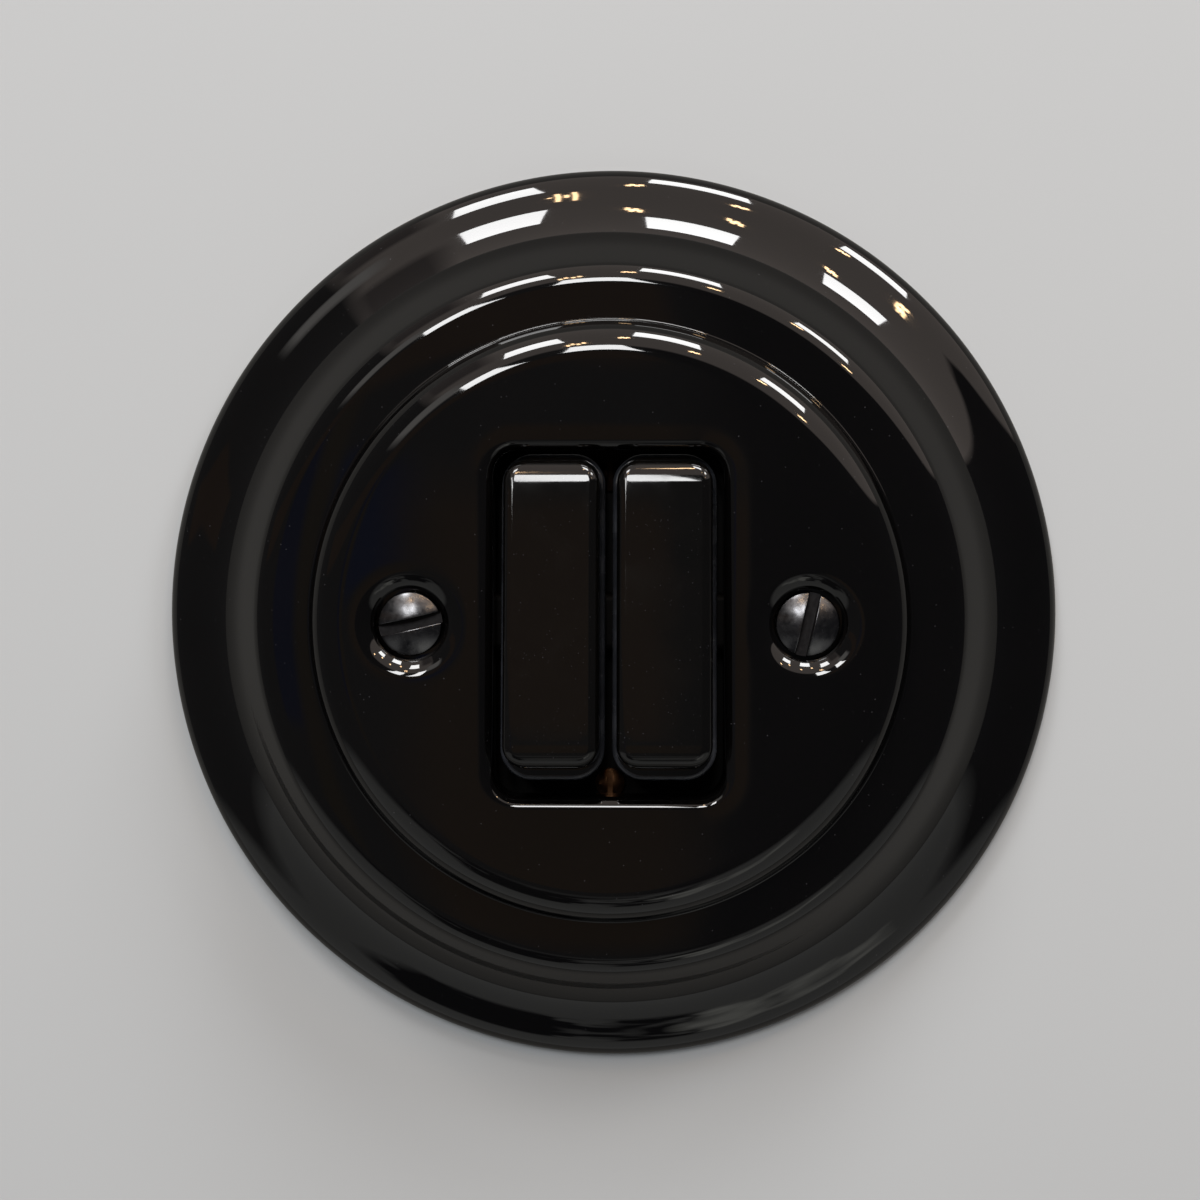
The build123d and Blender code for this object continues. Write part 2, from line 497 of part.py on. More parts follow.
def all_nodes():
    """Every piece of the switch by the name of its node."""
    terminal_up, terminal_down, terminal_line = terminal_places()
    nodes = {
        "frame_ring": frame_ring(),
        "cover_plate": cover_plate(),
        "cover_screw_left": cover_screw(LEFT, LEFT_SLOT_TURN),
        "cover_screw_right": cover_screw(RIGHT, RIGHT_SLOT_TURN),
        "pivot_pin": pivot_pin(),
        "bearing_frame": bearing_frame(),
        "bearing_screws": bearing_screws(),
        "base": base(),
        "line_strip": line_strip(),
        "up_strip": outgoing_strip(LEFT),
        "down_strip": outgoing_strip(RIGHT),
        "fixed_rivet_up": fixed_rivet(LEFT),
        "fixed_rivet_down": fixed_rivet(RIGHT),
        "terminal_screws": terminal_screws(),
        "clamp_up": clamp(terminal_up),
        "clamp_down": clamp(terminal_down),
        "clamp_line": clamp(terminal_line),
        "mounting_plate": mounting_plate(),
        "plate_screws": plate_screws(),
        "claw_top": claw_top(),
        "claw_bottom": flip(claw_top()),
        "claw_pin_top": claw_pin_top(),
        "claw_pin_bottom": flip(claw_pin_top()),
        "claw_screws": claw_screws(),
    }
    for name, side in (("left", LEFT), ("right", RIGHT)):
        nodes[f"screw_pillar_{name}"] = screw_pillar(side)
        nodes[f"rocker_{name}"] = rocker(side)
        nodes[f"carrier_{name}"] = carrier(side)
        nodes[f"plunger_{name}"] = plunger(side)
        nodes[f"plunger_spring_{name}"] = plunger_spring(side)
        nodes[f"contact_lever_{name}"] = contact_lever(side)
        nodes[f"lever_rivet_{name}"] = lever_rivet(side)
    return nodes


def stand(shape):
    """Turn a piece from the bench to the wall: up the wall becomes +Z, out of it becomes -Y."""
    pieces = shape if isinstance(shape, list) else [shape]
    return Compound(children=[Rot(90, 0, 0) * solid for piece in pieces for solid in piece.solids()])


os.makedirs("parts", exist_ok=True)
for name, shape in all_nodes().items():
    export_step(stand(shape), f"parts/{name}.step")
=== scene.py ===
import json

import bmesh
import bpy
import numpy as np
from mathutils import Matrix, Vector
from mathutils.geometry import delaunay_2d_cdt


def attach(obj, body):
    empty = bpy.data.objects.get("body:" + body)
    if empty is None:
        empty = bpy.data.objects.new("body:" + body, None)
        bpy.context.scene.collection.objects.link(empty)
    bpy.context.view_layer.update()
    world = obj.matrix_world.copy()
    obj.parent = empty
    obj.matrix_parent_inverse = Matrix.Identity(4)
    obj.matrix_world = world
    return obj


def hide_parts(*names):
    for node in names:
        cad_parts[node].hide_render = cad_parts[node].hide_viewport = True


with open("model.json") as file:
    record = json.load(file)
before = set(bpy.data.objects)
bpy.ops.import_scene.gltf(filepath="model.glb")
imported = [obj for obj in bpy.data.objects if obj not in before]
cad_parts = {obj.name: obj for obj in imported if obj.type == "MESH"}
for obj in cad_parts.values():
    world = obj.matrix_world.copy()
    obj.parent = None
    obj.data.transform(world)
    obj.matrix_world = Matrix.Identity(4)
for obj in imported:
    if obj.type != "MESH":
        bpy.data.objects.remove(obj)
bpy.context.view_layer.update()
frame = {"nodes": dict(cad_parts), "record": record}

# Sizes are in millimetres and angles in degrees. Shapes are drawn lying on the bench, as the part's solids are:
# X to the right, Y up the wall, Z out of the wall. to_wall() turns them upright and into metres.
MM = 0.001

# Porcelain frame: the outline that is turned about the switch's axis. Its face is a row of tangent arcs
# (radius, turn) and one run (length, None) from the rim to the seat; the hollow behind has corners (radius, height).
FRAME_R, FRAME_TOP_H = 50.0, 12.0
STEP_W, STEP_SLOPE = 2.1, 55.5
STEP_RUN = STEP_W / np.cos(np.radians(STEP_SLOPE))
FRAME_FACE = [(2.6, 60.0), (6.0, 17.0), (10.5, -42.5), (STEP_RUN, None), (3.0, STEP_SLOPE)]
FRAME_BORE_R, FRAME_BORE_EDGE_R, FRAME_FLANGE_H = 29.5, 0.8, 8.0
FRAME_HOLLOW = [(35.0, 8.0), (37.5, 6.4), (41.5, 2.2), (44.5, 0.0)]

# Porcelain cover
COVER_R, COVER_TOP_H = 32.55, 16.0
FOOT_SIDE, FOOT_EDGE_R = 0.15, 0.2
COVER_FACE_R, COVER_SHOULDER_R, COVER_SHOULDER_SLOPE = 28.45, 3.85, 87.0
SPIGOT_R, SPIGOT_INNER_R, SPIGOT_H = 29.2, 25.5, 9.5
OPENING_W, OPENING_L, OPENING_CORNER_R, OPENING_LEDGE_W = 24.4, 36.8, 2.6, 3.0
SCREW_X, BOSS_R, BOSS_H, COVER_HOLE_R = 21.1, 6.5, 8.4, 2.25
RECESS_R, RECESS_H = 3.8, 11.3
# The lips of the opening and of the recesses: radius and width; then the faint slope of the glaze round them
OPENING_LIP, RECESS_LIP = (1.1, 1.1), (2.9, 2.05)
HALO_W, HALO_SLOPE = 3.6, 0.2

# Rockers, drawn level and then tilted about the pivot pin
ROCKER_X, ROCKER_TILT, PIVOT_H, CAP_Y = 5.95, -6.5, 9.0, 0.3
SKIRT_W, SKIRT_L, SKIRT_CORNER_R, SKIRT_EDGE_R = 11.15, 34.9, 3.4, 0.5
SKIRT_LOW_H, SKIRT_TOP_H = 11.5, 13.5
PAD_W, PAD_L, PAD_CORNER_R, PAD_EDGE_R = 10.4, 32.8, 2.6, 1.0
PAD_H, PAD_DRAFT, PAD_END_W, PAD_END_DROP = 5.5, 0.2, 3.0, 0.95
CAP_HOLLOW_W, CAP_HOLLOW_L, CAP_HOLLOW_R, CAP_HOLLOW_H = 6.6, 28.0, 1.0, 17.2

# Cover screws
COVER_SCREW_R, COVER_SCREW_SIDE, COVER_SCREW_DOME, COVER_SCREW_RIM_R = 3.42, 3.4, 0.9, 0.12
COVER_SCREW_SHANK_R, COVER_SCREW_SHANK_L = 1.95, 10.0
COVER_SCREW_SLOT_W, COVER_SCREW_SLOT_D, COVER_SCREW_SLOT_EDGE_R = 1.2, 1.5, 0.12
SLOT_TURN = {"left": 12.6, "right": 77.0}

# How finely shapes are drawn: degrees per step of an arc, counts of points and steps, and the angle from which an
# edge stays sharp
ARC_STEP, RUN_POINTS = 4.0, 5
FRAME_STEPS, RECESS_STEPS, SHANK_STEPS = 360, 120, 72
OPENING_SIDE_STEPS, OPENING_CORNER_STEPS, LIP_POINTS = 60, 16, 16
PAD_EDGE_POINTS, PAD_FACE_ROWS, LID_ROWS = 14, 25, 9
SLOT_EDGE_POINTS, HEAD_ROWS, HEAD_POINTS = 8, 26, 61
SHARP_ANGLE = 40.0
# Points of the cover's face: the gaps between rings round the lips and between the points of the plain part,
# how far the rings go on past the halo, and the distances kept between all these and from the rim
RING_GAP, PLAIN_GAP, RINGS_PAST_HALO = 0.2, 0.9, 0.3
PLAIN_FROM_HALO, PLAIN_FROM_RIM, RINGS_FROM_RIM, RINGS_APART, INNER_RIM = 0.4, 1.0, 0.8, 0.05, 0.5
# Tolerances: points closer than this are one, a hair's breadth beside an edge, and flush with a plane
WELD, FACE_WELD, HAIR, FLUSH = 1e-4, 1e-5, 0.001, 0.01

# Headings of an outline of (radius, height)
HEAD_OUT, HEAD_UP, HEAD_IN = 0, 90, 180

# Surfaces: the share of a dust speck that is full and the size of a dusty patch in specks' distances, how far the
# metals' roughness varies, and the height above and below the axis over which painted shade darkens the bearing
# screws
DUST_CORE, DUST_PATCH = 0.4, 4
METAL_SPREAD = 0.05
SHADE_PAINT_H = 5.0

# The wall, a little behind the frame's foot: its hole, its reach and its steps
WALL_HOLE_R, WALL_R, WALL_H = 48.0, 1500.0, -0.2
WALL_STEPS, WALL_RINGS = 96, 12

# The room's shell, in metres: where its lamps are, how much larger it is itself, and its steps
ROOM_R, ROOM_MARGIN = 1.2, 1.15
ROOM_STEPS, ROOM_RINGS = 64, 24
# Lamps: degrees clockwise from 12 o'clock, degrees off the switch's axis, width round the axis and height off it
UPPER_PANELS = [(-17.7, 59.5, 12.4, 17), (11, 73, 14, 16), (38, 67.5, 11, 14)]
FRONT_PANELS = [(-33, 25, 12, 15), (-5, 25, 15, 14)]
PANEL_RADIANCE, PANEL_COLOUR = 20, "#ffffff"
# Clusters of small warm lamps: clockwise from 12 o'clock, off the axis, spread of the cluster, height of each lamp;
# then where the lamps of a cluster are, as shares of its spread and of a lamp's height
WARM_CLUSTERS = [
    (-9, 40, 1.8, 5.0), (1.8, 57, 0.9, 3.5), (17, 49.5, 0.9, 3.5), (33, 55, 0.8, 3.0), (44.6, 42, 0.8, 3.0)]
CLUSTER_PLACES = [(-1, -0.3), (-0.35, 0.25), (0.3, -0.15), (1, 0.3)]
WARM_LAMP_W, WARM_RADIANCE, WARM_COLOUR = 0.75, 40, "#ffd3a0"

# What the room looks like from the switch. Its parts lie between limits of a direction's share along RIGHT, INTO_WALL
# and UP, or across the slanting ends: where they fade in and are full, or (low, high, softness). Glows are linear.
RIGHT, INTO_WALL, UP = (1, 0, 0), (0, 1, 0), (0, 0, 1)
CEILING_END, CORNER_END, STRIP_END = (0.743, 0, 0.669), (-0.906, 0, -0.423), (0.574, 0, 0.819)
SIDE_LIMIT, RIGHT_GLOW, LEFT_GLOW = (0.06, 0.0), (0.05, 0.05, 0.055, 1), (0.09, 0.088, 0.09, 1)
# Patches ahead, two blue and three brown: limits to the right (low, high) and up (low, high), softness, glow
PATCHES_AHEAD = [
    (-0.18, -0.137, -0.04, 0.045, 0.01, (0.06, 0.075, 0.15, 1)),
    (-0.28, -0.214, -0.12, 0.1, 0.006, (0.06, 0.07, 0.13, 1)),
    (-0.213, -0.185, -0.25, 0.1, 0.006, (0.12, 0.1, 0.08, 1)),
    (-0.14, 0.025, -0.27, 0.03, 0.02, (0.14, 0.104, 0.08, 1)),
    (-0.9, 0.01, 0.1, 0.237, 0.008, (0.15, 0.108, 0.085, 1)),
]
CEILING_FRONT, CEILING_LEFT, CEILING_LOW = (-0.872, -0.835), (-0.03, 0.03), (0.362, 0.388)
CEILING_GLOW = (0.85, 0.74, 0.68, 1)
CORNER_FRONT, CORNER_SIDE, CORNER_GLOW = (-0.6, -0.48), (0.0, 0.08), (0.3, 0.26, 0.25, 1)
STRIP_DEPTH, STRIP_WIDTH, STRIP_LEFT = (-0.885, -0.7, 0.02), (-0.5, 0.06, 0.03), (-0.02, 0.03)
STRIP_GLOW = (1.2, 1.15, 1.1, 1)
FLOOR_LIMIT, FLOOR_GLOW = (-0.42, -0.52), (0.37, 0.37, 0.36, 1)
DARK_WIDTH, DARK_DEPTH, DARK_TOP = (-0.42, 0.15, 0.03), (-0.86, -0.48, 0.03), (-0.3, -0.4)
DARK_GAPS, DARK_GLOW = (0.66, 0.56), (0.04, 0.04, 0.045, 1)
PALE_MIDDLE, PALE_REACH, PALE_GLOW = (0.23, -0.64, -0.73), (0.42, 0.32), (1.0, 1.0, 0.93, 1)
# The random pattern that makes the dark and the pale patch of the floor ragged
RAGGED_SCALE, RAGGED_DETAIL, RAGGED_SHARE = 6.0, 2.0, 0.5

# Camera, and where the switch's axis falls in a picture 1200 pixels wide; the scale is that at a height off the wall
CAMERA_AWAY, CAMERA_TURN, CAMERA_RISE, CAMERA_CLIP = 220.0, 1.3, 3.0, 10.0
PICTURE, AXIS_AT, PIXELS_PER_MM, SCALE_H = 1200.0, (611.6, 616.9), 8.97, 4.0
SENSOR = 36.0


def to_wall(points):
    """Bench millimetres (x, y, z) as metres on the wall, where they are (x, -z, y)."""
    points = np.asarray(points, float)
    return np.stack([points[..., 0], -points[..., 2], points[..., 1]], axis=-1) * MM


def grid_faces(rows, cols, wrap=False):
    """The quads between neighbouring points of a grid of rows by columns, joined round the columns if wrapped."""
    index = np.arange(rows * cols).reshape(rows, cols)
    if wrap:
        index = np.hstack([index, index[:, :1]])
    return np.stack([index[:-1, :-1], index[:-1, 1:], index[1:, 1:], index[1:, :-1]], axis=-1).reshape(-1, 4)


def unit_circle(steps):
    """Points (cos a, sin a) in even steps round a circle."""
    angle = np.linspace(0, 2 * np.pi, steps, endpoint=False)
    return np.stack([np.cos(angle), np.sin(angle)], axis=-1)


def raised(flat, height):
    """Rows of points (x, y) put at their heights, as one list of points (x, y, z)."""
    upright = np.broadcast_to(height, flat.shape[:2])[..., None]
    return np.concatenate([flat, upright], axis=-1).reshape(-1, 3)


def outline(start, heading, parts):
    """The line that leaves a point in a heading along runs (length, None) and tangent arcs (radius, turn).

    An arc's points are its centre plus the radius turned evenly through the arc's angle; a positive turn is to
    the left.
    """
    point, lines = np.array(start, float), [np.array([start], float)]
    for size, turn in parts:
        if turn is None:
            ahead = np.array([np.cos(np.radians(heading)), np.sin(np.radians(heading))])
            lines.append(point + size * ahead * np.linspace(0, 1, RUN_POINTS)[1:, None])
        else:
            side = np.sign(turn)
            count = int(abs(turn) / ARC_STEP) + 2
            spoke = np.radians(heading - side * 90 + np.linspace(0, turn, count))
            circle = size * np.stack([np.cos(spoke), np.sin(spoke)], axis=-1)
            lines.append(point + circle[1:] - circle[0])
            heading += turn
        point = lines[-1][-1]
    return np.concatenate(lines)


def turned(profile, steps=FRAME_STEPS, at=(0.0, 0.0)):
    """A closed outline of (radius, height) carried round an upright axis: x = r cos a, y = r sin a, z = height."""
    radius, height = profile.T
    flat = np.array(at) + radius[:, None, None] * unit_circle(steps)
    return raised(flat, height[:, None]), [grid_faces(len(profile), steps, wrap=True)]


def rounded_path(width, length, corner, side_steps=24, corner_steps=12):
    """Points round a rounded rectangle, as the centres and outward normals of its edge, and the corner's radius.

    A point of the edge is its centre plus the normal times the corner's radius. Along a side the centre moves and
    the normal stays, round a corner the normal turns and the centre stays.
    """
    corners = np.array([[1, 1], [-1, 1], [-1, -1], [1, -1]]) * (width / 2 - corner, length / 2 - corner)
    turn = np.radians(np.arange(4)[:, None] * 90 + np.linspace(0, 90, corner_steps + 1))
    share = np.linspace(0, 1, side_steps + 1)[1:-1, None]
    sides = corners[:, None] * (1 - share) + np.roll(corners, -1, axis=0)[:, None] * share
    at_corner = np.broadcast_to(corners[:, None], (4, corner_steps + 1, 2))
    centres = np.concatenate([at_corner, sides], axis=1).reshape(-1, 2)
    turn = np.concatenate([turn, np.broadcast_to(turn[:, -1:], (4, side_steps - 1))], axis=1).reshape(-1)
    return centres, np.stack([np.cos(turn), np.sin(turn)], axis=-1), corner


def carried(path, profile):
    """A profile of (distance outwards, height) carried round a rounded rectangle."""
    centres, normals, corner = path
    outwards, height = np.asarray(profile, float).T
    flat = centres + normals * (corner + outwards[:, None, None])
    return raised(flat, height[:, None]), [grid_faces(len(profile), len(centres), wrap=True)]


def to_middle_line(edge, length, width, rows):
    """Rows of points that go in straight lines from an edge to a rectangle's middle line, where x = 0 and y is held
    within half the length less half the width."""
    reach = (length - width) / 2
    middle = np.stack([np.zeros(len(edge)), np.clip(edge[:, 1], -reach, reach)], axis=-1)
    share = np.linspace(0, 1, rows)[:, None, None]
    return edge * (1 - share) + middle * share


def lid(path, length, width, height):
    """A flat lid on a rounded rectangle, in rows from its edge to its middle line."""
    centres, normals, corner = path
    flat = to_middle_line(centres + normals * corner, length, width, LID_ROWS)
    return raised(flat, height), [grid_faces(LID_ROWS, len(centres), wrap=True)]


def joined(*surfaces):
    """Several surfaces as one: their points one after the other, their faces counted on."""
    points, faces, start = [], [], 0
    for surface_points, surface_faces in surfaces:
        points.append(surface_points)
        faces += [kind + start for kind in surface_faces]
        start += len(surface_points)
    return np.concatenate(points), faces


def tilted(surface, angle, height):
    """A surface turned by an angle about the line along X at a height."""
    points, faces = surface
    c, s = np.cos(np.radians(angle)), np.sin(np.radians(angle))
    x, y, z = points[:, 0], points[:, 1], points[:, 2] - height
    return np.stack([x, c * y - s * z, s * y + c * z + height], axis=-1), faces


def moved(surface, by):
    """A surface moved by (x, y, z)."""
    return surface[0] + np.array(by), surface[1]


def make_piece(name, surface, materials, body, nodes, second=None):
    """A mesh from a surface in bench millimetres: seams merged, faces outwards, smooth but for its sharp edges.

    Where there is a second material, `second` is a test of the faces' middles that says which of them have it.
    """
    points, faces = surface
    mesh = bpy.data.meshes.new(name)
    mesh.from_pydata(to_wall(points).tolist(), [], [face for kind in faces for face in kind.tolist()])
    if second:
        middles = np.concatenate([points[kind].mean(axis=1) for kind in faces])
        mesh.polygons.foreach_set("material_index", second(middles).astype(np.int32))
    work = bmesh.new()
    work.from_mesh(mesh)
    bmesh.ops.remove_doubles(work, verts=work.verts, dist=WELD * MM)
    bmesh.ops.dissolve_degenerate(work, edges=work.edges, dist=WELD * MM)
    bmesh.ops.recalc_face_normals(work, faces=work.faces)
    work.to_mesh(mesh)
    work.free()
    mesh.shade_smooth()
    mesh.set_sharp_from_angle(angle=np.radians(SHARP_ANGLE))
    for material in materials:
        mesh.materials.append(material)
    piece = bpy.data.objects.new(name, mesh)
    bpy.context.scene.collection.objects.link(piece)
    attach(piece, body)
    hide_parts(*nodes)


def linear(colour):
    """An sRGB hex colour as linear RGBA."""
    srgb = np.array([int(colour[i:i + 2], 16) for i in (1, 3, 5)]) / 255
    return (*np.where(srgb <= 0.04045, srgb / 12.92, ((srgb + 0.055) / 1.055) ** 2.4).tolist(), 1.0)


def per_metre(size):
    """The scale of a pattern whose features are a size in millimetres apart."""
    return 1 / (size * MM)


def add(tree, kind, inputs=None, **settings):
    """Add a node with its settings; an input takes a value or the output of another node."""
    new = tree.nodes.new("ShaderNode" + kind)
    for key, value in settings.items():
        setattr(new, key, value)
    for socket, value in (inputs or {}).items():
        if isinstance(value, bpy.types.NodeSocket):
            tree.links.new(value, new.inputs[socket])
        else:
            new.inputs[socket].default_value = value
    return new


def empty_material(name):
    """A material without nodes, and its tree."""
    material = bpy.data.materials.new(name)
    material.use_nodes = True
    material.node_tree.nodes.clear()
    return material, material.node_tree


def new_material(name):
    """An empty material, its tree, and the object coordinates that its patterns are drawn in."""
    material, tree = empty_material(name)
    return material, tree, add(tree, "TexCoord").outputs["Object"]


def noise(tree, place, size, detail, distortion=0.0):
    """A soft random pattern from 0 to 1 whose features are a size in millimetres."""
    return add(tree, "TexNoise", {
        "Vector": place, "Scale": per_metre(size), "Detail": detail, "Distortion": distortion}).outputs["Fac"]


def ramp(tree, value, low, high, start=0.0, end=1.0):
    """What goes from start to end while a value goes from low to high, and is held beyond."""
    return add(tree, "MapRange", {
        "Value": value, "From Min": low, "From Max": high, "To Min": start, "To Max": end}).outputs["Result"]


def product(tree, one, other):
    """Two shares multiplied."""
    return add(tree, "Math", {0: one, 1: other}, operation="MULTIPLY").outputs["Value"]


def blend(tree, share, one, other):
    """The colour that is a share of the way from one to the other."""
    return add(tree, "Mix", {"Factor": share, "A": one, "B": other}, data_type="RGBA").outputs["Result"]


def bump(tree, pattern, depth, strength=1.0):
    """The normals of a surface with a pattern raised on it by a depth in millimetres."""
    return add(tree, "Bump", {"Height": pattern, "Strength": strength, "Distance": depth * MM}).outputs["Normal"]


def set_surface(tree, inputs):
    """Give a material its surface: one principled shader with these inputs."""
    shader = add(tree, "BsdfPrincipled", inputs)
    add(tree, "OutputMaterial", {"Surface": shader.outputs["BSDF"]})


def dust(tree, place, apart, size):
    """Specks of dust: near the middle of each cell of a random pattern, some distance apart, the factor is 1."""
    cell = add(tree, "TexVoronoi", {"Vector": place, "Scale": per_metre(apart)}).outputs["Distance"]
    speck = ramp(tree, cell, low=size / apart, high=DUST_CORE * size / apart)
    some = noise(tree, place, size=DUST_PATCH * apart, detail=1.0)
    return product(tree, speck, ramp(tree, some, low=0.4, high=0.7))


def black_glazed_porcelain():
    """Porcelain under a thick black glaze, fired: deep black, mirror gloss that wavers slightly, a few specks."""
    material, tree, place = new_material("black_glazed_porcelain")
    sag = noise(tree, place, size=16, detail=1.0)
    cloud = noise(tree, place, size=9, detail=4.0)
    black = blend(tree, cloud, linear("#030303"), linear("#060505"))
    set_surface(tree, {
        "Base Color": blend(tree, dust(tree, place, apart=1.1, size=0.09), black, linear("#3a3a3d")),
        "Roughness": ramp(tree, cloud, low=0.3, high=0.8, start=0.02, end=0.05), "IOR": 1.52,
        "Normal": bump(tree, sag, depth=0.05)})
    return material


def gloss_black_moulding():
    """Black moulded caps with a polished face: nearly as glossy as the glaze, dusty, with faint handling smears."""
    material, tree, place = new_material("gloss_black_moulding")
    smear = noise(tree, place, size=5, detail=5.0, distortion=0.6)
    sink = noise(tree, place, size=9, detail=1.0)
    black = blend(tree, smear, linear("#040404"), linear("#080706"))
    set_surface(tree, {
        "Base Color": blend(tree, dust(tree, place, apart=0.5, size=0.06), black, linear("#3c3c41")),
        "Roughness": ramp(tree, smear, low=0.4, high=0.75, start=0.03, end=0.09), "IOR": 1.5,
        "Normal": bump(tree, sink, depth=0.02)})
    return material


def scuffed_moulding_painted_sheen():
    """The same moulding where handling has rubbed the edges: greyer, and a soft sheen in place of mirror gloss. The
    grey is partly wear and partly painted highlight, a pale bluish line along the gaps beside the rockers.
    """
    material, tree, place = new_material("scuffed_moulding_painted_sheen")
    rub_and_sheen = noise(tree, place, size=3, detail=4.0)
    set_surface(tree, {
        # Partly painted highlight: the edges' pale bluish grey stands in for the light line along the gaps
        "Base Color": blend(tree, rub_and_sheen, linear("#0e0f11"), linear("#3a3d44")),
        "Roughness": ramp(tree, rub_and_sheen, low=0.35, high=0.7, start=0.12, end=0.4), "IOR": 1.5})
    return material


def plain_metal(name, light, dark, rough, grain):
    """A metal whose tone and gloss vary in soft patches of a grain size."""
    material, tree, place = new_material(name)
    patch = noise(tree, place, size=grain, detail=6.0)
    gloss = ramp(tree, patch, low=0.3, high=0.7, start=rough - METAL_SPREAD, end=rough + METAL_SPREAD)
    set_surface(tree, {
        "Base Color": blend(tree, patch, linear(dark), linear(light)), "Metallic": 1.0, "Roughness": gloss})
    return material


def unglazed_porcelain():
    """Bare fired porcelain where the frame stood in the kiln: off-white, matt, faintly grained and soiled."""
    material, tree, place = new_material("unglazed_porcelain")
    soil = noise(tree, place, size=3, detail=5.0)
    grain = noise(tree, place, size=0.4, detail=2.0)
    set_surface(tree, {
        "Base Color": blend(tree, soil, linear("#a89f90"), linear("#d6d0c4")), "Roughness": 0.75, "IOR": 1.5,
        "Normal": bump(tree, grain, depth=0.05, strength=0.5)})
    return material


def brass_shaded_above():
    """Brass gone brown with age: dull, with a warm glint on the lower screw. Painted shade darkens it upwards, to
    nearly black at the upper one.
    """
    material, tree, place = new_material("brass_shaded_above")
    patch = noise(tree, place, size=0.8, detail=6.0)
    tone = blend(tree, patch, linear("#3a2618"), linear("#8a6244"))
    # Painted shade: the colour goes from the brass tone below the axis to near black above it, where the upper screw
    # lies in shadow
    rise = add(tree, "SeparateXYZ", {"Vector": place}).outputs["Z"]
    upper = ramp(tree, rise, low=-SHADE_PAINT_H * MM, high=SHADE_PAINT_H * MM)
    set_surface(tree, {
        "Base Color": blend(tree, upper, tone, linear("#140d09")), "Metallic": 1.0, "Roughness": 0.4})
    return material


def dark_moulding(name, dark, light, gloss):
    """Dark thermoset moulding, matt from the mould, with a fine mineral speckle."""
    material, tree, place = new_material(name)
    speck = noise(tree, place, size=0.5, detail=3.0)
    set_surface(tree, {
        "Base Color": blend(tree, speck, linear(dark), linear(light)), "Roughness": 0.6,
        "Specular IOR Level": gloss, "Normal": bump(tree, speck, depth=0.02, strength=0.4)})
    return material


MATERIALS = {
    "black_porcelain": black_glazed_porcelain(),
    "black_plastic": gloss_black_moulding(),
    # Near-black moulding: partly its own black, and partly painted shade that keeps the parts glimpsed in the opening
    # dark
    "dark_moulding": dark_moulding("shade_darkened_thermoset", "#050404", "#0a0908", gloss=0.1),
    "burnished_steel": plain_metal("burnished_steel", "#686869", "#454548", rough=0.24, grain=0.5),
    "zinc_steel": plain_metal("zinc_plated_steel", "#c9cac8", "#a9abaa", rough=0.3, grain=6.0),
    "brass": plain_metal("brass", "#b9925a", "#86663a", rough=0.3, grain=4.0),
    "silver_contact": plain_metal("silver", "#e6e4dd", "#cbc9c2", rough=0.25, grain=1.0),
    "spring_steel": plain_metal("spring_steel", "#a2a3a5", "#77787a", rough=0.3, grain=2.0),
}
SCUFFED_EDGE_AND_SHEEN = scuffed_moulding_painted_sheen()
BARE_FOOT = unglazed_porcelain()
# Darker, rougher steel in the screws' slots
SLOT_DARK_STEEL = plain_metal("dark_slot_steel", "#3c3b3c", "#1c1b1c", rough=0.5, grain=0.4)
for subpart in frame["record"]["subparts"]:
    shown = frame["nodes"][subpart["node"]]
    shown.data.materials.clear()
    shown.data.materials.append(MATERIALS[subpart["material_slot"]])
frame["nodes"]["base"].data.materials[0] = dark_moulding("brown_black_thermoset", "#1b1715", "#2c2622", gloss=0.4)
frame["nodes"]["bearing_screws"].data.materials[0] = brass_shaded_above()


def frame_surface():
    """The frame: its face from rim to seat, the bore, and the hollow behind, as one closed outline turned."""
    face = outline((FRAME_R, 0), HEAD_UP, FRAME_FACE)
    face[:, 1] += FRAME_TOP_H - face[-1, 1]
    bore = outline((FRAME_BORE_R + FRAME_BORE_EDGE_R, FRAME_TOP_H), HEAD_IN, [(FRAME_BORE_EDGE_R, 90)])
    back = np.array([(FRAME_BORE_R, FRAME_FLANGE_H), *FRAME_HOLLOW, (FRAME_R, 0), face[0]])
    return turned(np.concatenate([face, bore, back]))


def on_foot(points):
    """A test of points: whether they are on the frame's foot, which stands on the wall."""
    return points[:, 2] < FLUSH


def dip(distance, lip):
    """How far the glazed face lies below its level at a distance from an edge.

    Within the lip's width it is an arc of the lip's radius; out to the halo's width it is a slope that fades as
    (1 - d / width)^2, so its depth is the slope times a third of the width times (1 - d / width)^3.
    """
    radius, width = lip
    inside = np.clip(width - distance, 0, width)
    soft = np.clip(1 - distance / HALO_W, 0, 1)
    return radius - np.sqrt(radius**2 - inside**2) + HALO_SLOPE * HALO_W / 3 * soft**3


def opening_path():
    """Points round the cover's opening."""
    return rounded_path(OPENING_W, OPENING_L, OPENING_CORNER_R, OPENING_SIDE_STEPS, OPENING_CORNER_STEPS)


def opening_distance(flat):
    """Distance of points from the opening's edge, outwards."""
    over = np.abs(flat) - (OPENING_W / 2 - OPENING_CORNER_R, OPENING_L / 2 - OPENING_CORNER_R)
    return np.hypot(*np.clip(over, 0, None).T) + np.clip(over.max(axis=1), None, 0) - OPENING_CORNER_R


def recess_distance(flat):
    """Distance of points from the edge of the nearer screw recess, outwards."""
    return np.hypot(np.abs(flat[:, 0]) - SCREW_X, flat[:, 1]) - RECESS_R


def lip_rings(lip):
    """Distances of the rings of points round an edge: even steps of slope on the lip, then of distance."""
    radius, width = lip
    slope = np.linspace(np.arcsin(width / radius), 0, LIP_POINTS)
    beyond = np.arange(width + RING_GAP, HALO_W + RINGS_PAST_HALO, RING_GAP)
    return np.concatenate([width - radius * np.sin(slope), beyond])


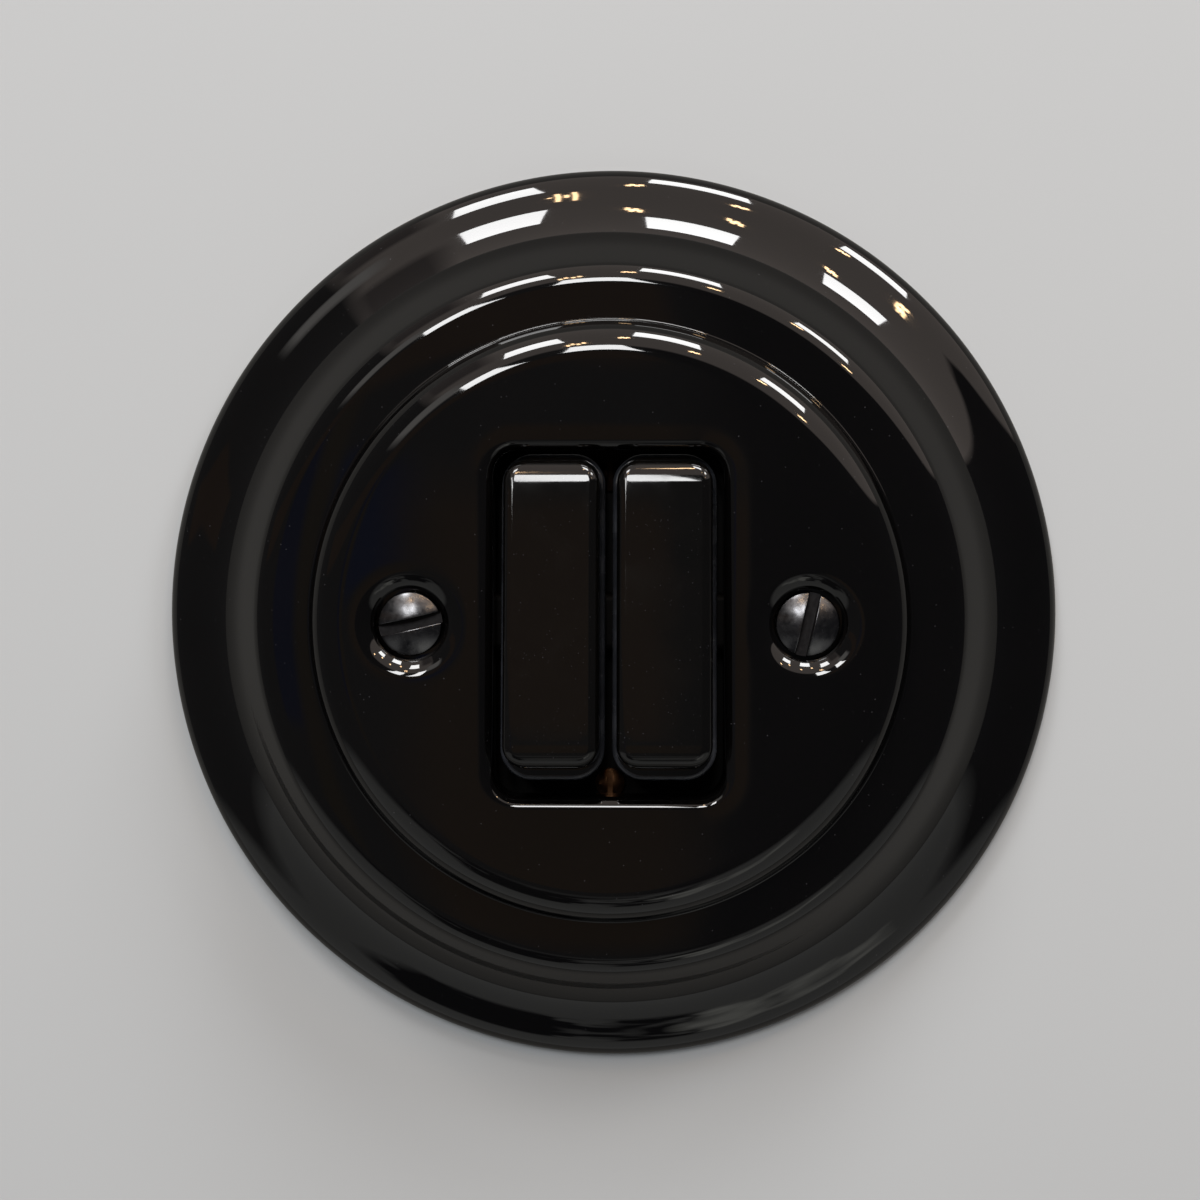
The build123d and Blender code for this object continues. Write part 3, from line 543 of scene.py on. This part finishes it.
def cover_face():
    """The flat face of the cover with its soft lips: rings of points round each edge, filled in between, and each
    point lowered by the dips of the opening and of the recesses."""
    centres, normals, corner = opening_path()
    around_opening = (centres + normals * (corner + lip_rings(OPENING_LIP)[:, None, None])).reshape(-1, 2)
    nearer = opening_distance(around_opening) < recess_distance(around_opening) - RINGS_APART
    around_opening = around_opening[nearer]

    recess = ((RECESS_R + lip_rings(RECESS_LIP)[:, None, None]) * unit_circle(RECESS_STEPS)).reshape(-1, 2)
    around_recess = np.concatenate([recess + (side * SCREW_X, 0) for side in (-1, 1)])
    nearer = recess_distance(around_recess) <= opening_distance(around_recess)
    around_recess = around_recess[nearer & (np.hypot(*around_recess.T) < COVER_FACE_R - RINGS_FROM_RIM)]

    rim = unit_circle(FRAME_STEPS)
    rims = np.concatenate([rim * COVER_FACE_R, rim * (COVER_FACE_R - INNER_RIM)])

    level = np.arange(-COVER_FACE_R, COVER_FACE_R, PLAIN_GAP)
    plain = np.stack(np.meshgrid(level, level), axis=-1).reshape(-1, 2)
    clear = HALO_W + PLAIN_FROM_HALO
    far = (opening_distance(plain) > clear) & (recess_distance(plain) > clear)
    plain = plain[far & (np.hypot(*plain.T) < COVER_FACE_R - PLAIN_FROM_RIM)]

    flat = np.concatenate([around_opening, around_recess, rims, plain])
    found = delaunay_2d_cdt([Vector(p) for p in flat.tolist()], [], [], 0, FACE_WELD)
    flat = np.array([p[:] for p in found[0]])
    corners = np.array(found[2])
    middle = flat[corners].mean(axis=1)
    corners = corners[(opening_distance(middle) > 0) & (recess_distance(middle) > 0)]
    height = COVER_TOP_H - dip(opening_distance(flat), OPENING_LIP) - dip(recess_distance(flat), RECESS_LIP)
    return np.concatenate([flat, height[:, None]], axis=-1), [corners]


def cover_surface():
    """The cover: its face, its shoulder and foot, the walls of the opening and recesses, and the spigot behind."""
    shoulder = outline((COVER_FACE_R, COVER_TOP_H), HEAD_OUT, [(COVER_SHOULDER_R, -COVER_SHOULDER_SLOPE)])
    foot_start = (COVER_R - FOOT_EDGE_R, FRAME_TOP_H + FOOT_SIDE + FOOT_EDGE_R)
    foot = outline(foot_start, HEAD_OUT, [(FOOT_EDGE_R, -90), (FOOT_SIDE, None)])
    under = np.array([
        (SPIGOT_R, FRAME_TOP_H), (SPIGOT_R, SPIGOT_H), (SPIGOT_INNER_R, SPIGOT_H), (SPIGOT_INNER_R, FRAME_TOP_H)])
    edge = turned(np.concatenate([shoulder, foot, under]))
    opening_top, recess_top = (COVER_TOP_H - dip(np.zeros(1), lip)[0] for lip in (OPENING_LIP, RECESS_LIP))
    wall = carried(opening_path(), [(0, opening_top), (0, FRAME_TOP_H), (OPENING_LEDGE_W, FRAME_TOP_H)])
    cup = np.array([
        (RECESS_R, recess_top), (RECESS_R, RECESS_H), (COVER_HOLE_R, RECESS_H), (COVER_HOLE_R, BOSS_H),
        (BOSS_R, BOSS_H), (BOSS_R, FRAME_TOP_H)])
    cups = [turned(cup, RECESS_STEPS, (side * SCREW_X, 0)) for side in (-1, 1)]
    return joined(cover_face(), edge, wall, *cups)


def pad_surface():
    """The pad of a rocker: drafted walls, a rounded edge and soft ends, as rows of points from its foot inwards.

    At a distance d inside the edge and e inside the end, the face lies below its top by a quarter circle of d, which
    is upright at the edge, and by the end's drop times (1 - e / width)^3. Past the rounded edge the points move in
    straight lines to the middle line.
    """
    path = rounded_path(PAD_W, PAD_L, PAD_CORNER_R)
    centres, normals, corner = path
    angle = np.radians(np.linspace(0, 90, PAD_EDGE_POINTS))
    rim = centres + normals * (corner - PAD_DRAFT - PAD_EDGE_R * (1 - np.cos(angle)))[:, None, None]
    inner = to_middle_line(rim[-1], PAD_L, PAD_W, PAD_FACE_ROWS)[1:]
    flat = np.concatenate([rim, inner])
    edge = np.concatenate([PAD_EDGE_R * (1 - np.sin(angle)), np.zeros(len(inner))])
    from_end = PAD_L / 2 - PAD_DRAFT - np.abs(flat[..., 1])
    drop = edge[:, None] + PAD_END_DROP * np.clip(1 - from_end / PAD_END_W, 0, None) ** 3
    face = raised(flat, SKIRT_TOP_H + PAD_H - drop)
    foot = carried(path, [(0, SKIRT_TOP_H)])[0]
    return np.concatenate([foot, face]), [grid_faces(len(flat) + 1, len(centres), wrap=True)]


def rocker_surface(side):
    """A rocker cap: the skirt carried round a rounded rectangle, the pad on it, and the hollow below."""
    shift = (0, CAP_Y, 0)
    skirt_path = rounded_path(SKIRT_W, SKIRT_L, SKIRT_CORNER_R)
    pad_path = rounded_path(PAD_W, PAD_L, PAD_CORNER_R)
    hollow_path = rounded_path(CAP_HOLLOW_W, CAP_HOLLOW_L, CAP_HOLLOW_R)
    skirt_side = SKIRT_TOP_H - SKIRT_LOW_H - SKIRT_EDGE_R
    skirt = outline((0, SKIRT_LOW_H), HEAD_UP, [(skirt_side, None), (SKIRT_EDGE_R, 90)])
    ledge_points = np.concatenate([carried(skirt_path, skirt[-1:])[0], carried(pad_path, [(0, SKIRT_TOP_H)])[0]])
    hollow = carried(hollow_path, [(0, SKIRT_LOW_H), (0, CAP_HOLLOW_H)])
    ceiling = lid(hollow_path, CAP_HOLLOW_L, CAP_HOLLOW_W, CAP_HOLLOW_H)
    skirt_foot = carried(skirt_path, skirt[:1])[0] + shift
    under_points = np.concatenate([carried(hollow_path, [(0, SKIRT_LOW_H)])[0], skirt_foot])
    strip = [grid_faces(2, len(hollow_path[0]), wrap=True)]
    outside = joined(carried(skirt_path, skirt), (ledge_points, strip), pad_surface())
    cap = joined(moved(outside, shift), hollow, ceiling, (under_points, strip))
    return moved(tilted(cap, ROCKER_TILT, PIVOT_H), (side * ROCKER_X, 0, 0))


def on_skirt_edge(points):
    """A test of points: whether they are on the rounded edge of a rocker's skirt, by their height before the tilt."""
    level = tilted((points, None), -ROCKER_TILT, PIVOT_H)[0][:, 2]
    return (level > SKIRT_TOP_H - SKIRT_EDGE_R) & (level < SKIRT_TOP_H - HAIR)


def screw_surface(side, turn):
    """A slotted screw with a raised head. The head's rows run along the slot and span the chord of the head there:
    x = u sqrt(R^2 - v^2), y = v. The height is a ball's cap, rounded off at the rim and at the slot's edges, and the
    slot's floor within the slot's width."""
    radius, slot = COVER_SCREW_R, COVER_SCREW_SLOT_W / 2
    edge = slot + COVER_SCREW_SLOT_EDGE_R * (1 - np.cos(np.radians(np.linspace(1, 90, SLOT_EDGE_POINTS))))
    beyond = radius * np.sin(np.linspace(np.arcsin(edge[-1] / radius), np.pi / 2, HEAD_ROWS))[1:]
    half = np.concatenate([[0.0, slot / 2, slot - HAIR], edge, beyond])
    across = np.concatenate([-half[:0:-1], half])[:, None]
    along = np.sin(np.radians(np.linspace(-90, 90, HEAD_POINTS)))
    x = along * np.sqrt(np.clip(radius**2 - across**2, 0, None))
    y = np.broadcast_to(across, x.shape)
    off = np.hypot(x, y)
    ball_r = (radius**2 + COVER_SCREW_DOME**2) / (2 * COVER_SCREW_DOME)
    top = COVER_SCREW_SIDE + COVER_SCREW_DOME
    height = top - ball_r + np.sqrt(ball_r**2 - off**2)
    for distance, round_r in ((radius - off, COVER_SCREW_RIM_R), (np.abs(y) - slot, COVER_SCREW_SLOT_EDGE_R)):
        inside = np.clip(round_r - distance, 0, round_r)
        height = height - round_r + np.sqrt(round_r**2 - inside**2)
    height = np.where(np.abs(y) < slot, top - COVER_SCREW_SLOT_D, height)
    cap = np.stack([x, y, height], axis=-1)
    ring = np.concatenate([cap[:, -1], cap[::-1, 0]])
    foot = ring * (1, 1, 0)
    side_wall = np.concatenate([ring, foot]), [grid_faces(2, len(ring), wrap=True)]
    shank = np.array([
        (radius, 0), (COVER_SCREW_SHANK_R, 0), (COVER_SCREW_SHANK_R, -COVER_SCREW_SHANK_L),
        (0, -COVER_SCREW_SHANK_L)])
    points, faces = joined((cap.reshape(-1, 3), [grid_faces(*x.shape)]), side_wall, turned(shank, SHANK_STEPS))
    c, s = np.cos(np.radians(turn)), np.sin(np.radians(turn))
    x, y, z = points.T
    return moved((np.stack([c * x - s * y, s * x + c * y, z], axis=-1), faces), (side * SCREW_X, 0, RECESS_H))


def in_slot(side, turn):
    """A test of points: whether they are in the slot of a cover screw, above its floor and between its walls."""
    ahead = np.array([-np.sin(np.radians(turn)), np.cos(np.radians(turn))])
    floor = RECESS_H + COVER_SCREW_SIDE + COVER_SCREW_DOME - COVER_SCREW_SLOT_D

    def test(points):
        across = np.abs((points[:, :2] - (side * SCREW_X, 0)) @ ahead)
        return (across < COVER_SCREW_SLOT_W / 2 + HAIR) & (points[:, 2] > floor - FLUSH)
    return test


PORCELAIN, PLASTIC, STEEL = (MATERIALS[slot] for slot in ("black_porcelain", "black_plastic", "burnished_steel"))
make_piece(
    "frame_porcelain", frame_surface(), [PORCELAIN, BARE_FOOT], "housing", ["frame_ring"],
    second=on_foot)
make_piece("cover_porcelain", cover_surface(), [PORCELAIN], "housing", ["cover_plate"])
for word, side in (("left", -1), ("right", 1)):
    make_piece(
        f"rocker_cap_{word}", rocker_surface(side), [PLASTIC, SCUFFED_EDGE_AND_SHEEN], f"rocker_{word}", [f"rocker_{word}"],
        second=on_skirt_edge)
    make_piece(
        f"slotted_screw_{word}", screw_surface(side, SLOT_TURN[word]), [STEEL, SLOT_DARK_STEEL], "housing",
        [f"cover_screw_{word}"], second=in_slot(side, SLOT_TURN[word]))


def backdrop_material():
    """Pale plaster, plain, and greyer in the glaze's mirror image. From behind it lets everything through, so that
    the box side of the switch shows."""
    material, tree = empty_material("pale_plaster")
    mirrored = add(tree, "LightPath").outputs["Is Glossy Ray"]
    plaster = add(tree, "BsdfDiffuse", {"Color": blend(tree, mirrored, linear("#bdc1c4"), linear("#7e7f7e"))})
    behind = add(tree, "NewGeometry").outputs["Backfacing"]
    clear = add(tree, "BsdfTransparent")
    both = add(tree, "MixShader", {"Fac": behind, 1: plaster.outputs["BSDF"], 2: clear.outputs["BSDF"]})
    add(tree, "OutputMaterial", {"Surface": both.outputs["Shader"]})
    return material


def backdrop(name, points, faces, material):
    """An object with one material, from points in bench millimetres."""
    mesh = bpy.data.meshes.new(name)
    mesh.from_pydata(to_wall(points).tolist(), [], faces.tolist())
    mesh.materials.append(material)
    item = bpy.data.objects.new(name, mesh)
    bpy.context.scene.collection.objects.link(item)
    return item


def wall_plane():
    """The wall: a flat ring from the edge of the box hole, under the frame, out to where the camera sees no
    further."""
    radius = np.geomspace(WALL_HOLE_R, WALL_R, WALL_RINGS)
    points = raised(radius[:, None, None] * unit_circle(WALL_STEPS), WALL_H)
    faces = grid_faces(WALL_RINGS, WALL_STEPS, wrap=True)[:, ::-1]
    wall = backdrop("wall", points, faces, backdrop_material())


def towards(turn, away):
    """The direction that is `away` degrees off the switch's axis, `turn` degrees clockwise from 12 o'clock."""
    turn, away = np.radians(turn), np.radians(away)
    return np.array([np.sin(away) * np.sin(turn), -np.cos(away), np.sin(away) * np.cos(turn)])


def light_panel(name, turn, away, width, height, radiance, colour):
    """A flat lamp on the room's shell, facing the switch, that spans some degrees round the axis and off it."""
    aim = towards(turn, away)
    lamp = bpy.data.lights.new(name, "AREA")
    lamp.shape = "RECTANGLE"
    lamp.size = 2 * ROOM_R * np.sin(np.radians(away)) * np.tan(np.radians(width / 2))
    lamp.size_y = 2 * ROOM_R * np.tan(np.radians(height / 2))
    lamp.energy = radiance * np.pi * lamp.size * lamp.size_y
    lamp.color = linear(colour)[:3]
    panel = bpy.data.objects.new(name, lamp)
    bpy.context.scene.collection.objects.link(panel)
    panel.location = aim * ROOM_R
    across = np.array([np.cos(np.radians(turn)), 0, -np.sin(np.radians(turn))])
    panel.rotation_euler = Matrix(np.stack([across, np.cross(aim, across), aim], axis=-1).tolist()).to_euler()


for kind, panels in (("upper", UPPER_PANELS), ("front", FRONT_PANELS)):
    for number, span in enumerate(panels):
        light_panel(f"{kind}_panel_{number}", *span, PANEL_RADIANCE, PANEL_COLOUR)
for cluster, (turn, away, spread, tall) in enumerate(WARM_CLUSTERS):
    for number, (aside, rise) in enumerate(CLUSTER_PLACES):
        light_panel(
            f"warm_lamp_{cluster}_{number}", turn + aside * spread, away + rise * tall, WARM_LAMP_W, tall,
            WARM_RADIANCE, WARM_COLOUR)


def room_material():
    """The dim room in front of the wall: a pale ceiling with a dark corner and a brighter strip, a grey floor with a
    dark and a pale patch, and dark sides with brown and blue patches straight ahead."""
    material, tree, place = new_material("dim_room")
    material.cycles.emission_sampling = "NONE"
    way = add(tree, "VectorMath", {0: place}, operation="NORMALIZE").outputs["Vector"]
    ragged = add(tree, "TexNoise", {"Vector": way, "Scale": RAGGED_SCALE, "Detail": RAGGED_DETAIL}).outputs["Fac"]

    def along(aim, low, high):
        share = add(tree, "VectorMath", {0: way, 1: aim}, operation="DOT_PRODUCT").outputs["Value"]
        return ramp(tree, share, low, high)

    def times(one, other):
        return product(tree, one, other)

    def between(aim, low, high, soft):
        return times(along(aim, low - soft, low + soft), along(aim, high + soft, high - soft))

    def near(middle, outer, inner):
        off = add(tree, "VectorMath", {0: way, 1: middle}, operation="DISTANCE").outputs["Value"]
        rough = add(tree, "Math", {0: ragged, 1: RAGGED_SHARE, 2: off}, operation="MULTIPLY_ADD").outputs["Value"]
        return ramp(tree, rough, outer, inner)

    view = blend(tree, along(RIGHT, *SIDE_LIMIT), RIGHT_GLOW, LEFT_GLOW)
    for left, right, low, high, soft, glow in PATCHES_AHEAD:
        patch = times(between(RIGHT, left, right, soft), between(UP, low, high, soft))
        view = blend(tree, patch, view, glow)
    ceiling = times(
        along(INTO_WALL, *CEILING_FRONT), times(along(CEILING_END, *CEILING_LEFT), along(UP, *CEILING_LOW)))
    view = blend(tree, ceiling, view, CEILING_GLOW)
    corner = times(along(INTO_WALL, *CORNER_FRONT), along(CORNER_END, *CORNER_SIDE))
    view = blend(tree, times(corner, ceiling), view, CORNER_GLOW)
    strip = times(between(INTO_WALL, *STRIP_DEPTH), between(CEILING_END, *STRIP_WIDTH))
    view = blend(tree, times(strip, along(STRIP_END, *STRIP_LEFT)), view, STRIP_GLOW)
    view = blend(tree, along(UP, *FLOOR_LIMIT), view, FLOOR_GLOW)
    dark = times(between(RIGHT, *DARK_WIDTH), between(INTO_WALL, *DARK_DEPTH))
    dark = times(times(dark, ramp(tree, ragged, *DARK_GAPS)), along(UP, *DARK_TOP))
    view = blend(tree, dark, view, DARK_GLOW)
    view = blend(tree, near(PALE_MIDDLE, *PALE_REACH), view, PALE_GLOW)
    shine = add(tree, "Emission", {"Color": view, "Strength": 1.0})
    add(tree, "OutputMaterial", {"Surface": shine.outputs["Emission"]})
    return material


def room_shell():
    """The room: half a ball in front of the wall, a little larger than the ring of lamps. The camera looks through
    it."""
    away = np.radians(np.linspace(0, 90, ROOM_RINGS))[:, None]
    ball = raised(np.sin(away)[..., None] * unit_circle(ROOM_STEPS), np.cos(away))
    faces = grid_faces(ROOM_RINGS, ROOM_STEPS, wrap=True)
    shell = backdrop("room", ball * ROOM_MARGIN * ROOM_R / MM, faces, room_material())
    shell.visible_camera = shell.visible_shadow = False


def pale_world():
    """A plain pale surround for whatever looks past the wall and the room."""
    world = bpy.data.worlds.new("pale_surround")
    world.use_nodes = True
    world.node_tree.nodes["Background"].inputs["Color"].default_value = linear("#dededc")
    bpy.context.scene.world = world


def main_camera():
    """The camera at the photograph's distance and angles, with a shift that puts the switch's axis in its place."""
    turn, rise = np.radians(CAMERA_TURN), np.radians(CAMERA_RISE)
    back = Vector((np.sin(turn) * np.cos(rise), -np.cos(turn) * np.cos(rise), np.sin(rise)))
    lens = bpy.data.cameras.new("camera")
    lens.sensor_width = SENSOR
    lens.lens = PIXELS_PER_MM * (CAMERA_AWAY - SCALE_H) * SENSOR / PICTURE
    lens.shift_x = (PICTURE / 2 - AXIS_AT[0]) / PICTURE
    lens.shift_y = (AXIS_AT[1] - PICTURE / 2) / PICTURE
    lens.clip_start = CAMERA_CLIP * MM
    camera = bpy.data.objects.new("camera", lens)
    camera.location = back * CAMERA_AWAY * MM
    camera.rotation_euler = (-back).to_track_quat("-Z", "Y").to_euler()
    bpy.context.scene.collection.objects.link(camera)
    bpy.context.scene.camera = camera


wall_plane()
room_shell()
pale_world()
main_camera()
bpy.context.scene.view_settings.view_transform = "Standard"
